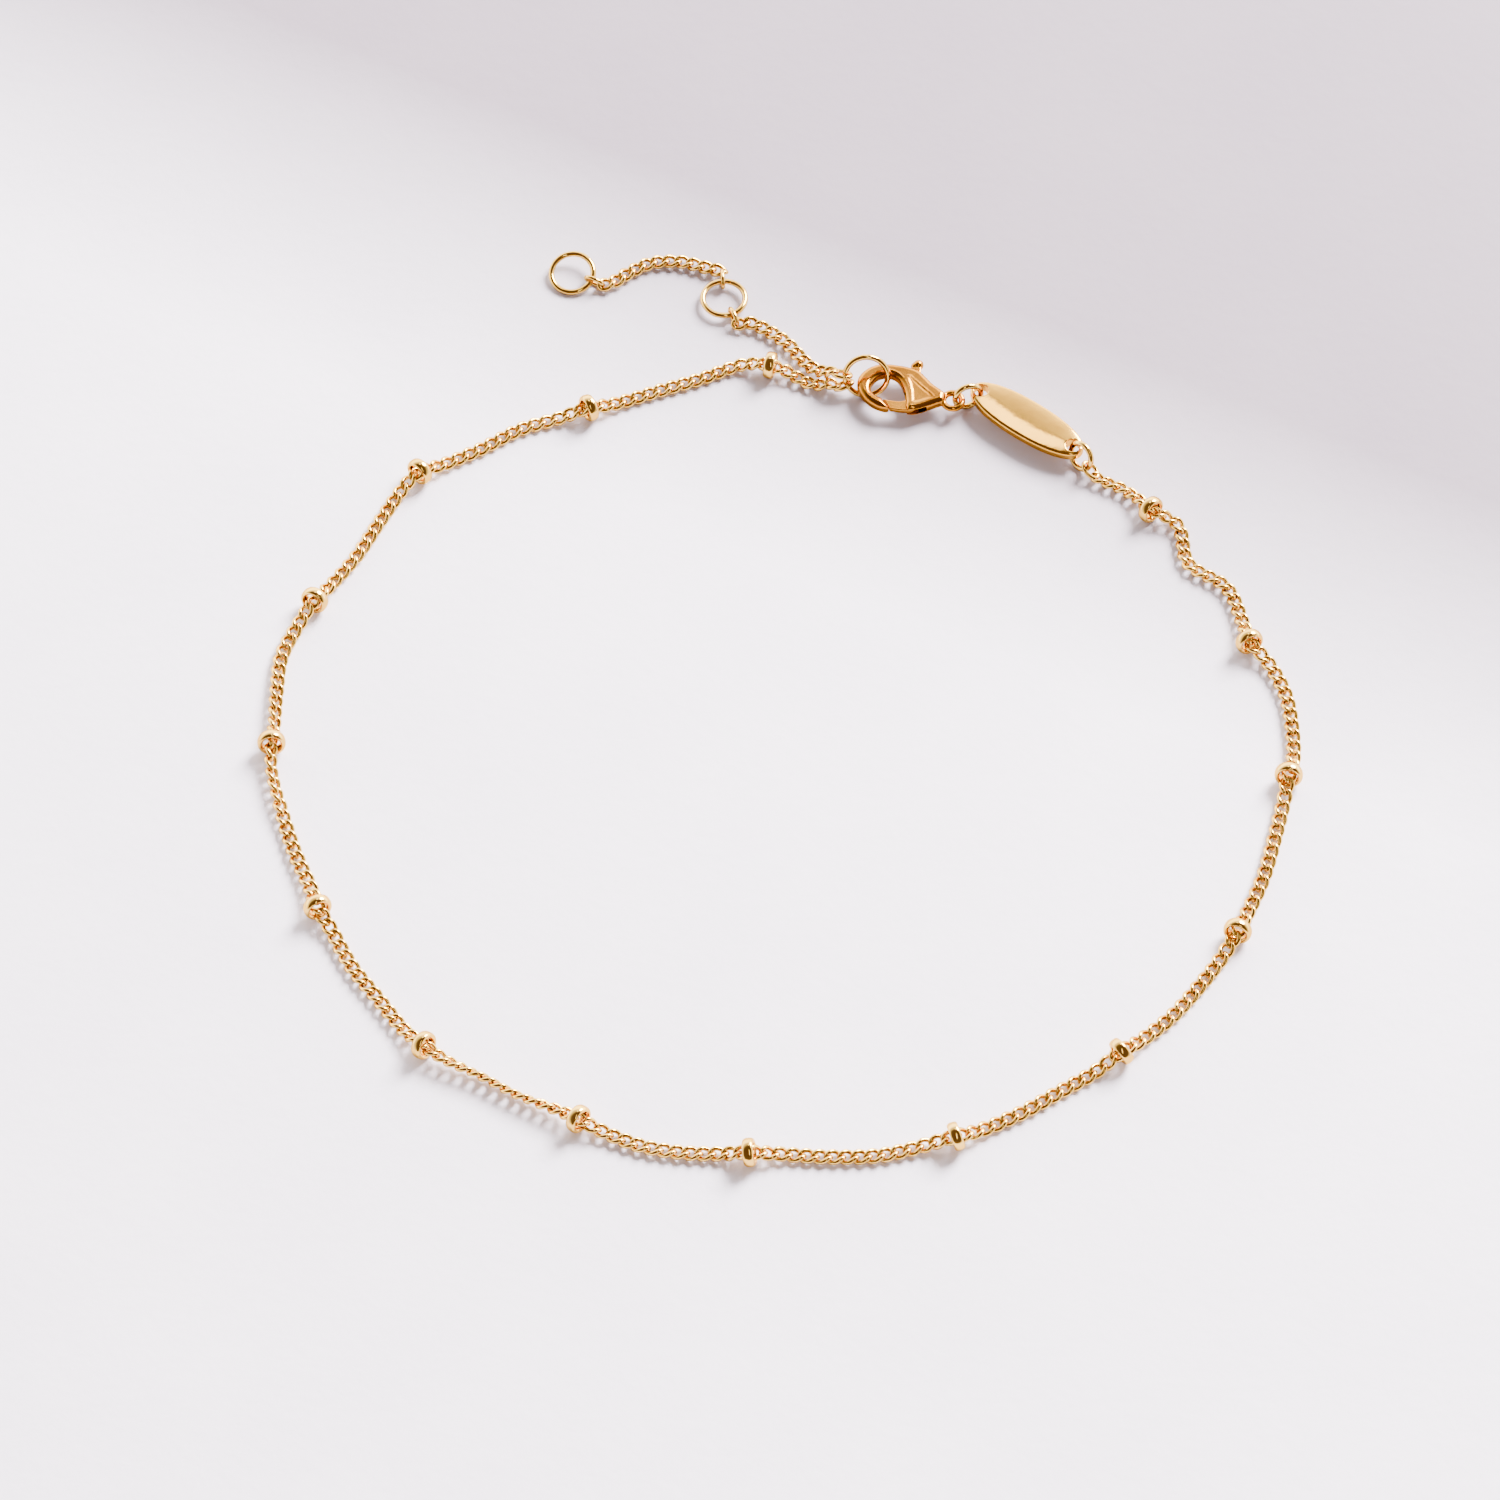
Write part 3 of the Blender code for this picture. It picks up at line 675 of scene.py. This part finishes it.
def pillowed(piece, outline, half, rounding, swell=0.0, dish=None):
    """Fuses a plate and rounds its rim. Its faces fall by the swell from middle to rim, round a sunk dish."""
    fuse(piece, CAST_GRAIN, 0)
    mesh = settled(piece)
    places = np.empty(len(mesh.vertices) * 3)
    mesh.vertices.foreach_get("co", places)
    places = places.reshape(-1, 3)
    nearest, _ = rim_distance(places, outline)
    short = np.clip(1 - nearest / rounding, 0, 1)
    inner = 1 - np.clip(nearest / nearest.max(), 0, 1)
    fall = RIM_DEPTH * rounding * (1 - np.sqrt(1 - short ** 2)) + swell * inner ** 2
    if dish:
        nearest, inside = rim_distance(places, dish)
        depth = np.clip(nearest / FACET_SOFT, 0, 1) * inside
        fall += FACET_DEPTH * depth ** 2 * (3 - 2 * depth)
    places[:, 2] *= 1 - fall / half
    mesh.vertices.foreach_set("co", places.ravel())
    piece.modifiers.clear()
    piece.data = mesh


def cast(name, piece, others, rounding, matrix, material):
    """The finished casting of a raw solid, in its place in the frame."""
    fuse(piece, CAST_GRAIN, rounding)
    mesh = settled(piece)
    for old in (piece, *others):
        bpy.data.objects.remove(old)
    mesh.transform(matrix @ Matrix.Scale(MM, 4))
    mesh.materials.clear()
    mesh.materials.append(material)
    mesh.shade_smooth()
    return add_object(name, mesh)


def clasp_matrix():
    return Matrix.Translation(CLASP_PLACE * MM) @ Matrix.Rotation(CLASP_YAW, 4, "Z")


def torus(name, centre, radius, wire):
    """A raw ring in the flat frame. add_mesh makes it in metres, so it is scaled back to mm."""
    points = radius * unit_circle() + np.array((*centre, 0.0))
    tube = closed_wire(points, wire / 2, RING_SIDES)
    piece = add_mesh(name, tube, hoop_faces(RING_STEPS, RING_SIDES), None)
    piece.data.transform(Matrix.Scale(1 / MM, 4))
    return piece


def ball(name, u, v, radius):
    mesh = bpy.data.meshes.new(name)
    work = bmesh.new()
    bmesh.ops.create_uvsphere(work, u_segments=BALL_COLUMNS, v_segments=BALL_ROWS, radius=radius)
    bmesh.ops.translate(work, verts=work.verts, vec=(u, v, 0))
    work.to_mesh(mesh)
    work.free()
    return add_object(name, mesh)


def build_clasp_body():
    half = CLASP_THICKNESS / 2
    outline = bent(HOOK_OUTER) + bent(BODY_LOWER) + bent(MOUTH)
    body = prism("clasp_raw", outline, -half, half)
    pillowed(body, outline, half, BODY_ROUND, dish=bent(FACET, SMALL_OUTLINE_STEPS))
    slot_outline = (
        (SLOT_START, -SLOT_REACH), (SLOT_END, -SLOT_REACH), (SLOT_END, SLOT_REACH), (SLOT_START, SLOT_REACH),
    )
    slot = prism("slot", slot_outline, -SLOT_HEIGHT / 2, SLOT_HEIGHT / 2)
    pin_half = half / 2 - PIN_INSET
    pin = prism("pin", round_outline(PIVOT, PIN_RADIUS, PIN_SIDES), -pin_half, pin_half)
    eye = torus("eye", EYE_CENTRE, EYE_RADIUS, EYE_WIRE)
    combine(body, "DIFFERENCE", slot)
    for added in (pin, eye):
        combine(body, "UNION", added)
    made = cast("clasp_casting", body, (slot, pin, eye), BODY_SOFTENING, clasp_matrix(), materials["cast"])
    place_piece(made, "anklet", "clasp_body")


def build_clasp_lever():
    half = LEVER_THICKNESS / 2
    outline = bent(LEVER_GATE + LEVER_THUMB + LEVER_BACK, SMALL_OUTLINE_STEPS)
    lever = prism("lever_raw", outline, -half, half)
    hole = prism("pin_hole", round_outline(PIVOT, PIN_HOLE, PIN_HOLE_SIDES), -2 * half, 2 * half)
    balls = [ball(f"thumb_{number}", *row) for number, row in enumerate(THUMB_BALLS)]
    combine(lever, "DIFFERENCE", hole)
    for added in balls:
        combine(lever, "UNION", added)
    made = cast("clasp_trigger", lever, (hole, *balls), LEVER_SOFTENING, clasp_matrix(), materials["trigger"])
    place_piece(made, "lever", "clasp_lever")


def build_tag():
    half = TAG_THICKNESS / 2
    outline = list(zip(*superellipse(TAG_HALF_LENGTH, TAG_HALF_WIDTH, TAG_ROUNDNESS, TAG_SIDES)))
    tag = prism("tag_raw", outline, -half, half)
    pillowed(tag, outline, half, TAG_ROUND, TAG_SWELL)
    holes = []
    for side in (-1, 1):
        rim = round_outline((side * TAG_HOLE_OFFSET, 0), TAG_HOLE, TAG_HOLE_SIDES)
        holes.append(prism(f"tag_hole_{side}", rim, -TAG_HOLE_REACH, TAG_HOLE_REACH))
        combine(tag, "DIFFERENCE", holes[-1])
    place = Matrix.Translation(TAG_CENTRE * MM) @ Matrix.Rotation(TAG_YAW, 4, "Z")
    made = cast("oval_tag", tag, holes, TAG_SOFTENING, place, materials["tag"])
    place_piece(made, "anklet", "tag")


# Studio. The paper is full pale up to the first share of the fall and PAPER_PAINTED_SHADE_GREY from the
# second. This fall to grey is painted shade, for the light that falls off towards the back.

PAPER_PAINTED_SHADE_FALL = (9, 18, 0)
PAPER_PAINTED_SHADE_STOPS = (0.2, 0.8)
PAPER_PAINTED_SHADE_GREY = (0.33, 0.295, 0.31)
PAPER_COLOURS = ((0.3, (0.85, 0.79, 0.87)), (0.7, (0.91, 0.85, 0.92)))
PAPER_NOISE = (60, 5, 0.55)
PAPER_FINE_NOISE = (900, 3)
PAPER_ROUGHNESS = 0.8
PAPER_SHINE = 0.2
PAPER_BUMP_STRENGTH = 0.15
PAPER_BUMP = 0.2
PAPER_REACH = 1500.0


def build_floor():
    """A pale paper that falls off to grey behind the clasp: painted shade, for the light falling off."""
    material, tree, shader = new_material("paper")
    grain = noise_at(tree, *PAPER_NOISE)
    place = add_node(tree, "ShaderNodeTexCoord")
    back = add_node(tree, "ShaderNodeVectorMath", operation="DOT_PRODUCT")
    back.inputs[1].default_value = PAPER_PAINTED_SHADE_FALL
    tree.links.new(place.outputs["Object"], back.inputs[0])
    shade = add_node(tree, "ShaderNodeMixRGB", blend_type="MULTIPLY")
    shade.inputs["Fac"].default_value = 1
    tree.links.new(ramp(tree, grain.outputs["Fac"], PAPER_COLOURS), shade.inputs["Color1"])
    # Painted shade: the colour is multiplied down to grey towards the back, where light falls off
    painted_shade_stops = tuple(zip(PAPER_PAINTED_SHADE_STOPS, ((1, 1, 1), PAPER_PAINTED_SHADE_GREY)))
    fall = ramp(tree, back.outputs["Value"], painted_shade_stops)
    tree.links.new(fall, shade.inputs["Color2"])
    tree.links.new(shade.outputs["Color"], shader.inputs["Base Color"])
    shader.inputs["Roughness"].default_value = PAPER_ROUGHNESS
    shader.inputs["Specular IOR Level"].default_value = PAPER_SHINE
    bump = add_node(tree, "ShaderNodeBump")
    bump.inputs["Strength"].default_value = PAPER_BUMP_STRENGTH
    bump.inputs["Distance"].default_value = PAPER_BUMP * MM
    fine = noise_at(tree, *PAPER_FINE_NOISE)
    tree.links.new(fine.outputs["Fac"], bump.inputs["Height"])
    tree.links.new(bump.outputs["Normal"], shader.inputs["Normal"])
    corners = [(u * PAPER_REACH, v * PAPER_REACH, 0) for u, v in ((-1, -1), (1, -1), (1, 1), (-1, 1))]
    floor = add_mesh("floor", corners, np.array([[0, 1, 2, 3]]), material, smooth=False)


Lamp = namedtuple("Lamp", "name place across tall watts colour")
LAMPS = (
    Lamp("key", (390, 460, 500), 400, 400, 46.0, (1.0, 0.965, 1.0)),
    Lamp("window", (-12, 250, 450), 105, 105, 0.22, (1.0, 0.98, 0.98)),
    Lamp("strip", (55, -280, 440), 55, 420, 0.35, (1.0, 0.97, 0.94)),
)


def build_lamps():
    for lamp in LAMPS:
        data = bpy.data.lights.new(lamp.name, "AREA")
        data.shape = "ELLIPSE"
        data.size = lamp.across * MM
        data.size_y = lamp.tall * MM
        data.energy = lamp.watts
        data.color = lamp.colour
        light = add_object(lamp.name, data)
        light.location = Vector(lamp.place) * MM
        light.rotation_euler = (-Vector(lamp.place)).to_track_quat("-Z", "Y").to_euler()


# The room's colours, from behind the scene at 0 to CAMERA_SIDE, a fixed direction, at 1
ROOM_STRENGTH = 9.0
ROOM_STOPS = (
    (0.46, (1.0, 0.97, 0.98)),
    (0.52, (0.8, 0.775, 0.78)),
    (0.58, (0.42, 0.41, 0.405)),
    (0.63, (0.27, 0.26, 0.255)),
    (0.69, (0.2, 0.193, 0.19)),
    (0.73, (0.13, 0.123, 0.12)),
    (0.775, (0.038, 0.03, 0.026)),
    (0.83, (0.026, 0.018, 0.014)),
    (0.97, (0.024, 0.014, 0.01)),
)


def build_world():
    """A room that is bright all round and dark towards the camera, for the metal to mirror."""
    world = bpy.data.worlds.new("room")
    bpy.context.scene.world = world
    world.use_nodes = True
    tree = world.node_tree
    place = add_node(tree, "ShaderNodeTexCoord")
    towards = add_node(tree, "ShaderNodeVectorMath", operation="DOT_PRODUCT")
    towards.inputs[1].default_value = CAMERA_SIDE
    tree.links.new(place.outputs["Generated"], towards.inputs[0])
    share = add_node(tree, "ShaderNodeMapRange")
    share.inputs["From Min"].default_value = -1
    tree.links.new(towards.outputs["Value"], share.inputs["Value"])
    background = tree.nodes["Background"]
    tree.links.new(ramp(tree, share.outputs["Result"], ROOM_STOPS), background.inputs["Color"])
    background.inputs["Strength"].default_value = ROOM_STRENGTH


def build_camera():
    data = bpy.data.cameras.new("camera")
    data.lens = CAMERA_LENS
    data.sensor_width = CAMERA_SENSOR
    data.clip_start, data.clip_end = CAMERA_CLIP
    camera = add_object("camera", data)
    camera.location = (CAMERA_TARGET + CAMERA_SIDE * CAMERA_DISTANCE) * MM
    camera.rotation_euler = (math.pi / 2 - CAMERA_DOWN, 0, 0)
    bpy.context.scene.camera = camera


build_camera()
build_world()
build_lamps()
build_floor()
build_beads(*build_main_chain())
build_extenders()
build_rings()
build_clasp_body()
build_clasp_lever()
build_tag()
